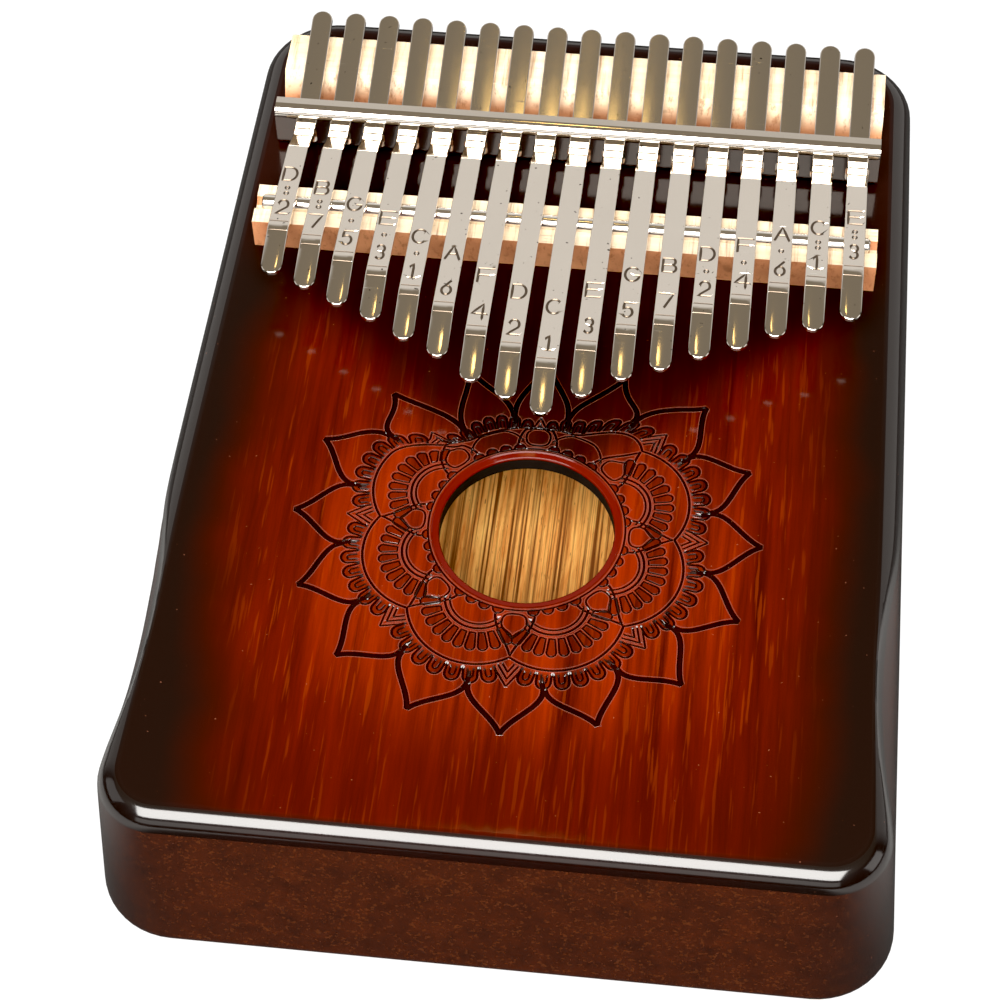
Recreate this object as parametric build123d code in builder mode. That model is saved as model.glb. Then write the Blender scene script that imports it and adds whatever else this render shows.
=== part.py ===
from build123d import *
import math
import os

os.makedirs("parts", exist_ok=True)

# A seventeen-tine mbira with a hollow wooden body. Millimetres.
# X runs across the tines, +Y points to their fixed rear ends, and Z is up from the rest face.
# The origin is on the rest face, at the centre of the overall box.

# Wooden body
body_length = 188.0
front_width = 134.5
rear_width = 128.5
body_height = 38.0
wall_flare = 3.3  # how far the bottom outline stands outside the top one
board_thickness = 3.5
back_thickness = 3.0
wall_thickness = 10.0
front_corner_radius = 11.0
rear_corner_radius = 14.0
top_round = 4.0
bottom_round = 2.5

# Hollowed grips on both sides: a wide cylinder, leaning so that it bites deepest at the top edge
grip_radius = 130.0
grip_depth = 3.5
grip_y = -52.0
grip_lean = 19.6

# Sound hole
hole_y = -28.5
hole_radius = 15.6
hole_bevel = 1.4

# Brace under the board, which takes the bracket's screws
brace_width = 16.0
brace_height = 14.0
brace_y = 61.5

# Front bridge and its saddle rod
bridge_half_length = 59.0
front_bridge_y = 32.1
front_bridge_top = 9.4
front_bridge_base = 11.4
front_bridge_height = 6.8
rod_radius = 1.5
rod_y = 37.0
rod_height = 7.0
rod_half_length = 57.6
groove_clearance = 0.03

# Rear bridge
rear_bridge_y = 69.0
rear_bridge_base = 14.5
rear_bridge_lead = 3.5
rear_bridge_top = 9.5
rear_bridge_height = 6.4

# Bracket: a folded strip with a top lip, a notched front wall and a foot
bracket_y = 58.0
bracket_half_length = 58.6
bracket_gauge = 1.2
bracket_height = 10.0
lip_depth = 3.6
foot_depth = 8.0
fold_radius = 0.9
notch_width = 4.5
notch_height = 5.5
notch_corner = 0.9
screw_y = 62.6
screw_gaps = (-6.5, -1.5, 1.5, 6.5)
screw_radius = 1.4
screw_head_radius = 2.5
screw_head_height = 1.7
screw_length = 14.0
screw_clearance = 0.2
thread_clearance = 0.02

# Tines
tine_pitch = 6.72
tine_shift = 0.8
tine_width = 4.0
tine_gauge = 1.0
tine_bend_radius = 0.5
tine_rear_y = 85.3
rear_section_angle = 12.0
flat_front_y = 56.2
flat_rear_y = 61.0
flat_height = 4.3
crank_y = 54.9
rise_angle = 7.2
tip_section = 12.5
tip_angle = -8.0
seat_clearance = 0.25
split_gap = 0.15
free_lengths = (
    19.1, 22.3, 26.2, 29.4, 33.8, 37.5, 43.0, 46.6, 49.9,
    44.7, 39.8, 36.6, 32.8, 29.7, 25.8, 23.4, 19.8,
)


def slope(angle):
    return math.tan(math.radians(angle))


tine_count = len(free_lengths)
half_length = body_length / 2
taper = (front_width - rear_width) / 2 / body_length
grip_edge = front_width / 2 - taper * (grip_y + half_length)
top = body_height
board_underside = body_height - board_thickness
seat_height = rod_height + rod_radius + seat_clearance
rear_rise = (tine_rear_y - flat_rear_y) * slope(rear_section_angle)
crank_height = seat_height - (crank_y - rod_y) * slope(rise_angle)
butt_rise = split_gap * slope(rise_angle)

# The closed outside of the body, which the three wooden shells are split from
with BuildPart() as body_form:
    with BuildSketch():
        with BuildLine():
            Polyline(
                (-front_width / 2, -half_length),
                (front_width / 2, -half_length),
                (rear_width / 2, half_length),
                (-rear_width / 2, half_length),
                close=True,
            )
        make_face()
        fillet(vertices().group_by(Axis.Y)[0], radius=front_corner_radius)
        fillet(vertices().group_by(Axis.Y)[-1], radius=rear_corner_radius)
        offset(amount=wall_flare)
    extrude(amount=body_height, taper=math.degrees(math.atan(wall_flare / body_height)))
    fillet(faces().sort_by(Axis.Z)[-1].edges(), radius=top_round)
    fillet(faces().sort_by(Axis.Z)[0].edges(), radius=bottom_round)
    for side in (-1, 1):
        grip_plane = Plane(
            origin=(side * (grip_edge + grip_radius - grip_depth), grip_y, body_height),
            x_dir=(0, 1, 0),
            z_dir=(-side * math.sin(math.radians(grip_lean)), 0, math.cos(math.radians(grip_lean))),
        )
        with BuildSketch(grip_plane):
            Circle(radius=grip_radius)
        extrude(amount=body_height * 1.5, both=True, mode=Mode.SUBTRACT)

# Soundboard with a bevelled sound hole and clearance holes for the bracket's screws
with BuildPart() as soundboard:
    add(body_form.part)
    split(bisect_by=Plane.XY.offset(board_underside), keep=Keep.TOP)
    with BuildSketch(Plane.XY.offset(board_underside)):
        with Locations((0, hole_y)):
            Circle(radius=hole_radius)
        with Locations([(tine_shift + gap * tine_pitch, screw_y) for gap in screw_gaps]):
            Circle(radius=screw_radius + screw_clearance)
    extrude(amount=board_thickness, mode=Mode.SUBTRACT)
    rim = edges().filter_by(GeomType.CIRCLE).group_by(Axis.Z)[-1].sort_by(SortBy.RADIUS)[-1]
    chamfer(rim, length=hole_bevel)
soundboard.part.label = "soundboard"
export_step(soundboard.part, "parts/soundboard.step")

# Side frame: one ring with the hollowed grips
with BuildPart() as side_frame:
    add(body_form.part)
    split(bisect_by=Plane.XY.offset(board_underside), keep=Keep.BOTTOM)
    split(bisect_by=Plane.XY.offset(back_thickness), keep=Keep.TOP)
    with BuildSketch(Plane.XY.offset(back_thickness)):
        RectangleRounded(
            rear_width - 2 * wall_thickness,
            body_length - 2 * wall_thickness,
            front_corner_radius - 3.0,
        )
    extrude(amount=board_underside - back_thickness, mode=Mode.SUBTRACT)
side_frame.part.label = "side_frame"
export_step(side_frame.part, "parts/side_frame.step")

# Back plate, whose inside shows through the sound hole
with BuildPart() as back_plate:
    add(body_form.part)
    split(bisect_by=Plane.XY.offset(back_thickness), keep=Keep.BOTTOM)
back_plate.part.label = "back_plate"
export_step(back_plate.part, "parts/back_plate.step")

# Brace glued under the board
with BuildPart() as bracket_brace:
    with BuildSketch(Plane.XY.offset(board_underside)):
        with Locations((0, brace_y)):
            Rectangle(rear_width - 2 * wall_thickness - 1.0, brace_width)
    extrude(amount=-brace_height)
    chamfer(edges().filter_by(Axis.X).group_by(Axis.Z)[0], length=3.0)
    with BuildSketch(Plane.XY.offset(board_underside)):
        with Locations([(tine_shift + gap * tine_pitch, screw_y) for gap in screw_gaps]):
            Circle(radius=screw_radius + thread_clearance)
    extrude(amount=-(screw_length - board_thickness), mode=Mode.SUBTRACT)
bracket_brace.part.label = "bracket_brace"
export_step(bracket_brace.part, "parts/bracket_brace.step")

# Front bridge, grooved for the saddle rod
with BuildPart() as front_bridge:
    with BuildSketch(Plane.YZ.offset(-bridge_half_length)):
        with BuildLine():
            Polyline(
                (front_bridge_y, top),
                (front_bridge_y + front_bridge_base, top),
                (front_bridge_y + front_bridge_top, top + front_bridge_height),
                (front_bridge_y, top + front_bridge_height),
                close=True,
            )
        make_face()
        with Locations((rod_y, top + rod_height)):
            Circle(radius=rod_radius + groove_clearance, mode=Mode.SUBTRACT)
    extrude(amount=2 * bridge_half_length)
front_bridge.part.label = "front_bridge"
export_step(front_bridge.part, "parts/front_bridge.step")

# Saddle rod
with BuildPart() as saddle_rod:
    with BuildSketch(Plane.YZ.offset(-rod_half_length)):
        with Locations((rod_y, top + rod_height)):
            Circle(radius=rod_radius)
    extrude(amount=2 * rod_half_length)
    chamfer(edges().filter_by(GeomType.CIRCLE), length=0.3)
saddle_rod.part.label = "saddle_rod"
export_step(saddle_rod.part, "parts/saddle_rod.step")

# Rear bridge
with BuildPart() as rear_bridge:
    with BuildSketch(Plane.YZ.offset(-bridge_half_length)):
        with BuildLine():
            Polyline(
                (rear_bridge_y, top),
                (rear_bridge_y + rear_bridge_base, top),
                (rear_bridge_y + rear_bridge_lead + rear_bridge_top, top + rear_bridge_height),
                (rear_bridge_y + rear_bridge_lead, top + rear_bridge_height),
                close=True,
            )
        make_face()
    extrude(amount=2 * bridge_half_length)
rear_bridge.part.label = "rear_bridge"
export_step(rear_bridge.part, "parts/rear_bridge.step")

# Bracket: foot, wall and lip folded from one strip, then notched for the tines
with BuildPart() as bracket:
    with BuildSketch(Plane.YZ.offset(-bracket_half_length)):
        with BuildLine():
            FilletPolyline(
                (bracket_y + foot_depth, top),
                (bracket_y, top),
                (bracket_y, top + bracket_height),
                (bracket_y + lip_depth, top + bracket_height),
                radius=fold_radius + bracket_gauge,
            )
            offset(amount=bracket_gauge, side=Side.RIGHT)
        make_face()
    extrude(amount=2 * bracket_half_length)
    with BuildSketch(Plane.XZ.offset(-bracket_y - 2 * bracket_gauge)):
        for index in range(tine_count):
            notch_x = tine_shift + (index - (tine_count - 1) / 2) * tine_pitch
            with Locations((notch_x, top + bracket_gauge + 0.4)):
                Rectangle(
                    notch_width,
                    notch_height - bracket_gauge - 0.4,
                    align=(Align.CENTER, Align.MIN),
                )
        fillet(vertices().group_by(Axis.Z)[-1], radius=notch_corner)
    extrude(amount=4 * bracket_gauge, mode=Mode.SUBTRACT)
    with BuildSketch(Plane.XY.offset(top)):
        with Locations([(tine_shift + gap * tine_pitch, screw_y) for gap in screw_gaps]):
            Circle(radius=screw_radius + screw_clearance)
    extrude(amount=bracket_gauge, mode=Mode.SUBTRACT)
bracket.part.label = "bracket"
export_step(bracket.part, "parts/bracket.step")

# Four pan-head screws through the foot into the brace
with BuildPart() as bracket_screws:
    with BuildSketch(Plane.XY.offset(top + bracket_gauge)):
        with Locations([(tine_shift + gap * tine_pitch, screw_y) for gap in screw_gaps]):
            Circle(radius=screw_head_radius)
    extrude(amount=screw_head_height)
    chamfer(edges().group_by(Axis.Z)[-1], length=0.6)
    with BuildSketch(Plane.XY.offset(top + bracket_gauge)):
        with Locations([(tine_shift + gap * tine_pitch, screw_y) for gap in screw_gaps]):
            Circle(radius=screw_radius)
    extrude(amount=-(screw_length - 1.0))
bracket_screws.part.label = "bracket_screws"
export_step(bracket_screws.part, "parts/bracket_screws.step")

# Tines: each strip is a shank behind the saddle rod and a reed that flexes in front of it
for index, free_length in enumerate(free_lengths):
    tine_x = tine_shift + (index - (tine_count - 1) / 2) * tine_pitch
    side_plane = Plane.YZ.offset(tine_x - tine_width / 2)
    with BuildPart() as shank:
        with BuildSketch(side_plane):
            with BuildLine():
                FilletPolyline(
                    (rod_y + split_gap, top + seat_height - butt_rise),
                    (crank_y, top + crank_height),
                    (flat_front_y, top + flat_height),
                    (flat_rear_y, top + flat_height),
                    (tine_rear_y, top + flat_height + rear_rise),
                    radius=tine_bend_radius,
                )
                offset(amount=tine_gauge, side=Side.LEFT)
            make_face()
        extrude(amount=tine_width)
        with BuildSketch():
            with Locations((tine_x, rod_y)):
                Rectangle(
                    tine_width,
                    tine_rear_y - tine_width / 2 - rod_y,
                    align=(Align.CENTER, Align.MIN),
                )
            with Locations((tine_x, tine_rear_y - tine_width / 2)):
                Circle(radius=tine_width / 2)
        extrude(amount=2 * body_height, mode=Mode.INTERSECT)
    shank.part.label = f"tine_{index + 1:02d}_shank"
    export_step(shank.part, f"parts/tine_{index + 1:02d}_shank.step")

    tip_y = rod_y - free_length
    bend_y = tip_y + tip_section
    bend_height = seat_height + (rod_y - bend_y) * slope(rise_angle)
    with BuildPart() as reed:
        with BuildSketch(side_plane):
            with BuildLine():
                FilletPolyline(
                    (rod_y - split_gap, top + seat_height + butt_rise),
                    (bend_y, top + bend_height),
                    (tip_y, top + bend_height + tip_section * slope(tip_angle)),
                    radius=6.0,
                )
                offset(amount=tine_gauge, side=Side.RIGHT)
            make_face()
        extrude(amount=tine_width)
        with BuildSketch():
            with Locations((tine_x, rod_y)):
                Rectangle(
                    tine_width,
                    free_length - tine_width / 2,
                    align=(Align.CENTER, Align.MAX),
                )
            with Locations((tine_x, tip_y + tine_width / 2)):
                Circle(radius=tine_width / 2)
        extrude(amount=2 * body_height, mode=Mode.INTERSECT)
    reed.part.label = f"tine_{index + 1:02d}_reed"
    export_step(reed.part, f"parts/tine_{index + 1:02d}_reed.step")
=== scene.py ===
import math
import bmesh
import bpy
import numpy as np
from mathutils import Matrix, Vector
from mathutils.geometry import delaunay_2d_cdt


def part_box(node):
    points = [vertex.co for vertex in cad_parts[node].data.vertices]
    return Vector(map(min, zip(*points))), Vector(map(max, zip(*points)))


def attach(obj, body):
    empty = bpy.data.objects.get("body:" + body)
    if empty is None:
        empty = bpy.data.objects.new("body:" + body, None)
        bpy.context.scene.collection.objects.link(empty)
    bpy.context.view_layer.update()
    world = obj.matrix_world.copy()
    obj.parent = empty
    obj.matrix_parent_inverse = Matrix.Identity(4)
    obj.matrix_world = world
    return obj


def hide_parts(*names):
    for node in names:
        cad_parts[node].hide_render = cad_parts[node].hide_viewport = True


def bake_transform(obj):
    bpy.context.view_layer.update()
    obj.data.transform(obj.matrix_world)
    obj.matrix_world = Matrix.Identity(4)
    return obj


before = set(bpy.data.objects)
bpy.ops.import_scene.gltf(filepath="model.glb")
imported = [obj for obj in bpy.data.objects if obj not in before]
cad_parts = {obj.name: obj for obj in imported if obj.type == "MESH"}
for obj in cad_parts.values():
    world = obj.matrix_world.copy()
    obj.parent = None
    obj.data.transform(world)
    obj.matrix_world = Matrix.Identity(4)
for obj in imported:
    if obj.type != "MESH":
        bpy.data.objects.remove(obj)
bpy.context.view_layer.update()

millimetre = 0.001
scene = bpy.context.scene
scene.view_settings.view_transform = "Standard"
scene.view_settings.use_curve_mapping = True
scene.view_settings.curve_mapping.black_level = (0.012, 0.012, 0.012)
scene.view_settings.curve_mapping.update()


def cornersOf(node):
    return [np.array(corner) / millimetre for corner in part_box(node)]


boardLow, boardHigh = cornersOf("soundboard")
wallLow, wallHigh = cornersOf("side_frame")
rodLow, rodHigh = cornersOf("saddle_rod")
boardTop = boardHigh[2]
rodY = (rodLow[1] + rodHigh[1]) / 2


# Meshes are worked out in millimetres and turned into metres by makePiece

weldDistance = 0.0006


def makePiece(name, verts, faces, creaseAngle, marks):
    mesh = bpy.data.meshes.new(name)
    mesh.from_pydata([tuple(v) for v in np.asarray(verts, float) * millimetre], [], faces)
    mesh.polygons.foreach_set("material_index", marks)
    piece = bpy.data.objects.new(name, mesh)
    scene.collection.objects.link(piece)
    bm = bmesh.new()
    bm.from_mesh(mesh)
    bmesh.ops.remove_doubles(bm, verts=bm.verts, dist=weldDistance * millimetre)
    bmesh.ops.recalc_face_normals(bm, faces=bm.faces)
    bm.to_mesh(mesh)
    bm.free()
    mesh.polygons.foreach_set("use_smooth", [True] * len(mesh.polygons))
    mesh.set_sharp_from_angle(angle=math.radians(creaseAngle))
    return piece


class Sheet:  # gathers the parts of one piece, each with the number of its material
    def __init__(self):
        self.verts, self.faces, self.marks = [], [], []

    def add(self, verts, faces, mark=0):
        start = len(self.verts)
        self.verts.extend(tuple(v) for v in verts)
        self.faces.extend(tuple(int(i) + start for i in face) for face in faces)
        self.marks.extend([mark] * len(faces))

    def addRings(self, rings, mark=0):
        count = len(rings[0])
        faces = []
        for level in range(len(rings) - 1):
            low = level * count
            for i in range(count):
                j = (i + 1) % count
                faces.append((low + i, low + j, low + count + j, low + count + i))
        self.add(np.vstack(rings), faces, mark)

    def make(self, name, creaseAngle=28.0):
        return makePiece(name, self.verts, self.faces, creaseAngle, self.marks)


def inside(points, loop):
    points, loop = np.asarray(points), np.asarray(loop)
    result = np.zeros(len(points), bool)
    for a, b in zip(loop, np.roll(loop, -1, axis=0)):
        crosses = (a[1] > points[:, 1]) != (b[1] > points[:, 1])
        if crosses.any():
            crossingX = a[0] + (points[:, 1] - a[1]) * (b[0] - a[0]) / (b[1] - a[1])
            result ^= crosses & (points[:, 0] < crossingX)
    return result


def triangulate(loops, lines=(), points=()):  # the first loop is the outside, the others are holes
    verts, edges = [], []
    for loop in loops:
        start = len(verts)
        verts.extend(Vector(p) for p in np.asarray(loop)[:, :2])
        edges.extend((start + i, start + (i + 1) % len(loop)) for i in range(len(loop)))
    for line in lines:
        start = len(verts)
        verts.extend(Vector(p) for p in line)
        edges.extend((start + i, start + i + 1) for i in range(len(line) - 1))
    verts.extend(Vector(p) for p in points)
    found, _, faces, _, _, _ = delaunay_2d_cdt(verts, edges, [], 0, 1e-4, False)
    found, faces = np.array([tuple(v) for v in found]), np.array(faces)
    centres = found[faces].mean(axis=1)
    keep = inside(centres, np.asarray(loops[0])[:, :2])
    for hole in loops[1:]:
        keep &= ~inside(centres, np.asarray(hole)[:, :2])
    return found, faces[keep]


arcStep = 0.14  # radians between the points of a rounded corner


def roundedPath(points, radii, step):  # straight runs joined by tangent arcs
    points = [np.array(p, float) for p in points]
    path = [points[0]]
    for before, corner, after, radius in zip(points, points[1:], points[2:], radii):
        u = (before - corner) / np.linalg.norm(before - corner)
        v = (after - corner) / np.linalg.norm(after - corner)
        turn = math.pi - math.acos(np.clip(u @ v, -1, 1))
        centre = corner + (u + v) / np.linalg.norm(u + v) * radius / math.cos(turn / 2)
        reach = radius * math.tan(turn / 2)
        a, b = corner + u * reach - centre, corner + v * reach - centre
        count = max(3, math.ceil(turn / arcStep))
        for i in range(count + 1):
            share = i / count
            fromA, fromB = math.sin((1 - share) * turn), math.sin(share * turn)
            path.append(centre + (a * fromA + b * fromB) / math.sin(turn))
    path.append(points[-1])
    dense = [path[0]]
    for a, b in zip(path, path[1:]):
        count = max(1, math.ceil(np.linalg.norm(b - a) / step))
        dense.extend(a + (b - a) * i / count for i in range(1, count + 1))
    return np.array(dense)


def bezier(a, b, c, d, count=14):
    t = np.linspace(0, 1, count)[:, None]
    a, b, c, d = (np.array(p, float) for p in (a, b, c, d))
    return (1 - t) ** 3 * a + 3 * (1 - t) ** 2 * t * b + 3 * (1 - t) * t ** 2 * c + t ** 3 * d


def arc(centre, radius, start, end, step=0.4):  # degrees, anticlockwise from +X
    count = max(5, math.ceil(abs(math.radians(end - start)) * radius / step))
    angles = np.radians(np.linspace(start, end, count + 1))
    return np.stack([centre[0] + radius * np.cos(angles), centre[1] + radius * np.sin(angles)], 1)


# Engraving: a stroke is its line, half width, depth and the flat share of its bottom,
# and a lip is the low ridge that may stand along both of its sides

def besideLine(line, distance):
    line = np.asarray(line, float)
    ahead = np.diff(line, axis=0)
    ahead /= np.maximum(np.linalg.norm(ahead, axis=1), 1e-9)[:, None]
    tangent = np.vstack([ahead[:1], ahead[:-1] + ahead[1:], ahead[-1:]])
    tangent /= np.maximum(np.linalg.norm(tangent, axis=1), 1e-9)[:, None]
    return line + np.stack([-tangent[:, 1], tangent[:, 0]], 1) * distance


def strokeLines(strokes, lip=0.0):
    lines = []
    for line, half, depth, flat in strokes:
        offsets = [half, half * flat] + ([half + lip / 2, half + lip] if lip else [])
        for offset in offsets:
            lines.append(besideLine(line, offset))
            if offset:
                lines.append(besideLine(line, -offset))
    return lines


def strokeHeight(points, strokes, lip=0.0, lipHeight=0.0):
    low, high = np.zeros(len(points)), np.zeros(len(points))
    for line, half, depth, flat in strokes:
        line = np.asarray(line, float)
        reach = half + lip
        near = np.all((points > line.min(0) - reach) & (points < line.max(0) + reach), axis=1)
        index = np.nonzero(near)[0]
        if not len(index):
            continue
        along = np.diff(line, axis=0)
        p = points[index][:, None, :] - line[:-1][None]
        share = np.clip((p * along).sum(2) / np.maximum((along ** 2).sum(1), 1e-12), 0, 1)
        distance = np.linalg.norm(p - share[..., None] * along, axis=2).min(axis=1)
        wall = np.clip((half - distance) / (half * (1 - flat)), 0, 1)
        low[index] = np.minimum(low[index], -depth * np.where(wall > 0.03, wall, 0))
        if lip:
            ridge = np.clip(1 - np.abs(distance - half - lip / 2) / (lip / 2), 0, 1)
            high[index] = np.maximum(high[index], lipHeight * ridge)
    return np.where(low < 0, low, high)


# Shader helpers

def addNode(tree, kind, inputs=None, **settings):
    made = tree.nodes.new(kind)
    for key, value in settings.items():
        setattr(made, key, value)
    for key, value in (inputs or {}).items():
        if isinstance(value, bpy.types.NodeSocket):
            tree.links.new(value, made.inputs[key])
        else:
            made.inputs[key].default_value = value
    return made


def sums(tree, operation, a, b=0.0):
    return addNode(tree, "ShaderNodeMath", {0: a, 1: b}, operation=operation).outputs[0]


def scaled(tree, value, share):
    return sums(tree, "MULTIPLY", value, share)


def blendColours(tree, share, a, b):
    made = addNode(tree, "ShaderNodeMix", data_type="RGBA", clamp_factor=True)
    for key, kind, value in (("Factor", "VALUE", share), ("A", "RGBA", a), ("B", "RGBA", b)):
        socket = next(s for s in made.inputs if s.name == key and s.type == kind)
        if isinstance(value, bpy.types.NodeSocket):
            tree.links.new(value, socket)
        else:
            socket.default_value = value
    return next(s for s in made.outputs if s.type == "RGBA")


def remap(tree, value, low, high, toLow=0.0, toHigh=1.0, smooth=False):
    inputs = {0: value, 1: low, 2: high, 3: toLow, 4: toHigh}
    kind = "SMOOTHSTEP" if smooth else "LINEAR"
    return addNode(tree, "ShaderNodeMapRange", inputs, interpolation_type=kind).outputs[0]


def newGroup(name, numbers, outputs):
    tree = bpy.data.node_groups.new(name, "ShaderNodeTree")
    for key, value in numbers.items():
        socket = tree.interface.new_socket(key, in_out="INPUT", socket_type="NodeSocketFloat")
        socket.default_value = value
    for key in outputs:
        tree.interface.new_socket(key, in_out="OUTPUT", socket_type="NodeSocketFloat")
    return tree, tree.nodes.new("NodeGroupInput").outputs, tree.nodes.new("NodeGroupOutput").inputs


def placeGroup(tree, group, **numbers):
    made = tree.nodes.new("ShaderNodeGroup")
    made.node_tree = group
    for key, value in numbers.items():
        made.inputs[key].default_value = value
    return made.outputs


def newMaterial(name, **fixed):
    material = bpy.data.materials.new(name)
    material.use_nodes = True
    tree = material.node_tree
    tree.nodes.clear()
    shader = addNode(tree, "ShaderNodeBsdfPrincipled")
    tree.links.new(shader.outputs[0], addNode(tree, "ShaderNodeOutputMaterial").inputs[0])
    for key, value in fixed.items():
        shader.inputs[key].default_value = value
    return material, tree, shader


def feed(tree, shader, **values):
    for key, value in values.items():
        tree.links.new(value, shader.inputs[key.replace("_", " ")])


def bump(tree, height, distance, strength=1.0):
    inputs = {"Height": height, "Distance": distance, "Strength": strength}
    return addNode(tree, "ShaderNodeBump", inputs).outputs[0]


def colour(red, green, blue):  # display values of 0 to 255 to linear light
    shares = (max(c, 0) / 255 for c in (red, green, blue))
    return tuple(c / 12.92 if c <= 0.04045 else ((c + 0.055) / 1.055) ** 2.4 for c in shares) + (1.0,)


def darker(tint, share):
    return tuple(c * share for c in tint[:3]) + (1.0,)


def objectPlace(tree):
    return addNode(tree, "ShaderNodeTexCoord").outputs["Object"]


def stretchedPlace(tree, stretch):
    return addNode(tree, "ShaderNodeMapping", {"Vector": objectPlace(tree), "Scale": stretch}).outputs[0]


def partsOf(tree, vector):
    return addNode(tree, "ShaderNodeSeparateXYZ", {0: vector}).outputs


def facing(tree):
    return partsOf(tree, addNode(tree, "ShaderNodeNewGeometry").outputs["True Normal"])


def noise(tree, place, scale, detail=3.0, roughness=0.55, distortion=0.0):
    inputs = {"Vector": place, "Scale": scale, "Detail": detail}
    inputs.update({"Roughness": roughness, "Distortion": distortion})
    return addNode(tree, "ShaderNodeTexNoise", inputs).outputs[0]


# The numbers inside the three groups set the look of noise that has no size of its own

def buildFibreGrain():  # long streaks and short pores that run along Y
    sizes = {"Across": 500.0, "Along": 20.0, "Pores": 0.5}
    tree, given, out = newGroup("fibreGrain", sizes, ("Streaks", "Pores"))
    scale = addNode(tree, "ShaderNodeCombineXYZ", {0: given["Across"], 1: given["Along"], 2: given["Across"]})
    factors = {0: objectPlace(tree), 1: scale.outputs[0]}
    spread = addNode(tree, "ShaderNodeVectorMath", factors, operation="MULTIPLY").outputs[0]
    broad = noise(tree, spread, 0.35, 4.0, 0.6, 0.6)
    fine = noise(tree, spread, 1.6, 5.0, 0.65)
    dashes = noise(tree, spread, 2.6, 2.0, 0.5)
    streaks = sums(tree, "ADD", scaled(tree, broad, 0.62), scaled(tree, fine, 0.38))
    tree.links.new(remap(tree, streaks, 0.34, 0.66), out["Streaks"])
    threshold = sums(tree, "SUBTRACT", 0.75, scaled(tree, given["Pores"], 0.2))
    pores = remap(tree, sums(tree, "SUBTRACT", dashes, threshold), 0.0, 0.06)
    tree.links.new(pores, out["Pores"])
    return tree


def buildHandlingWear():  # specks, hair scratches and cloudy patches
    sizes = {"Size": 1.0, "Amount": 0.5}
    tree, given, out = newGroup("handlingWear", sizes, ("Specks", "Scratches", "Clouds"))
    spread = addNode(tree, "ShaderNodeVectorMath", {0: objectPlace(tree)}, operation="SCALE")
    tree.links.new(given["Size"], spread.inputs["Scale"])
    place = spread.outputs[0]
    specks = noise(tree, place, 1400.0, 1.0, 0.5)
    edge = sums(tree, "SUBTRACT", 0.86, scaled(tree, given["Amount"], 0.14))
    tree.links.new(remap(tree, sums(tree, "SUBTRACT", specks, edge), 0.0, 0.03), out["Specks"])
    slanted = {"Vector": place, "Rotation": (0, 0, 0.9), "Scale": (260, 3000, 260)}
    hairs = noise(tree, addNode(tree, "ShaderNodeMapping", slanted).outputs[0], 1.0, 2.0, 0.5, 0.3)
    tree.links.new(remap(tree, sums(tree, "SUBTRACT", hairs, edge), -0.03, 0.02), out["Scratches"])
    tree.links.new(remap(tree, noise(tree, place, 60.0, 4.0, 0.6), 0.3, 0.7), out["Clouds"])
    return tree


def buildBurst():  # 0 in the middle of the board, 1 at its edges
    sizes = {"HalfWidth": 0.067, "HalfLength": 0.094, "Middle": 0.0}
    tree, given, out = newGroup("burst", sizes, ("Edge",))
    place = objectPlace(tree)
    parts = partsOf(tree, place)
    fall = 2.6  # how steeply it rises near an edge
    across = sums(tree, "ABSOLUTE", sums(tree, "DIVIDE", parts[0], given["HalfWidth"]))
    offset = sums(tree, "SUBTRACT", parts[1], given["Middle"])
    along = sums(tree, "ABSOLUTE", sums(tree, "DIVIDE", offset, given["HalfLength"]))
    clouds = scaled(tree, sums(tree, "SUBTRACT", noise(tree, place, 24.0, 3.0), 0.5), 0.5)
    total = sums(tree, "ADD", sums(tree, "POWER", across, fall), sums(tree, "POWER", along, fall))
    tree.links.new(sums(tree, "ADD", total, clouds), out["Edge"])
    return tree


fibreGrain = buildFibreGrain()
handlingWear = buildHandlingWear()
burst = buildBurst()

lacquer = {  # distances are in metres; a pair is where a blend starts and ends
    "roughness": 0.45,
    "specular": 0.05,
    "coatRoughness": 0.11,
    "coatIor": 1.65,
    "flatCoat": 0.14,  # the coat's weight where the surface lies flat
    "flatFacing": (0.97, 0.999),
    "grain": {"Across": 560.0, "Along": 26.0, "Pores": 0.75},
    "grainDepth": 0.00004,
    "grainStrength": 0.35,
    "wear": {"Size": 1.0, "Amount": 0.5},
    "speckShare": 0.25,
    "speck": colour(190, 120, 90),
    "burst": {"HalfWidth": 0.0625, "HalfLength": 0.105, "Middle": -0.034},
    "middle": colour(98, 23, 8),
    "between": colour(56, 13, 6),
    "fleck": colour(146, 58, 18),
    "fleckShare": 0.28,
    "warm": colour(134, 40, 10),  # the brighter ground round the flower
    "warmCentre": -0.036,
    "warmReach": (0.028, 0.046),
    "warmShare": 0.85,
    "frontShade": (-0.062, -0.084),
    "frontShare": 0.45,
    "halfway": colour(52, 16, 9),
    "halfwayEdge": (0.30, 0.78),
    "edge": colour(28, 18, 15),
    "edgeEdge": (0.58, 0.96),
    "paintedTineShadow": colour(36, 14, 9),  # painted shadow and dark reflection of the tines: a darker wedge, which runs back at its sides
    "underSlope": 0.95,
    "underEdge": (-0.034, -0.016),
    "underShare": 0.9,
    "groove": colour(17, 9, 7),
    "grooveDepth": (0.13, 0.01),  # millimetres below the board's top
    "grooveShare": 0.93,
    "lipHighlight": colour(128, 62, 44),
    "lipHighlightHeight": (0.006, 0.025),  # millimetres above the board's top; the lips there take a painted highlight
    "lipHighlightShare": 0.8,
    "side": colour(70, 29, 12),
    "sideDark": colour(46, 19, 10),
    "sideFleck": colour(150, 84, 40),
    "sideFleckShare": 0.14,
    "endAcross": (0.046, 0.070),  # the front wall darkens towards its two ends
    "endAlong": (-0.070, -0.088),
    "endShare": 0.7,
}


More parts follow.
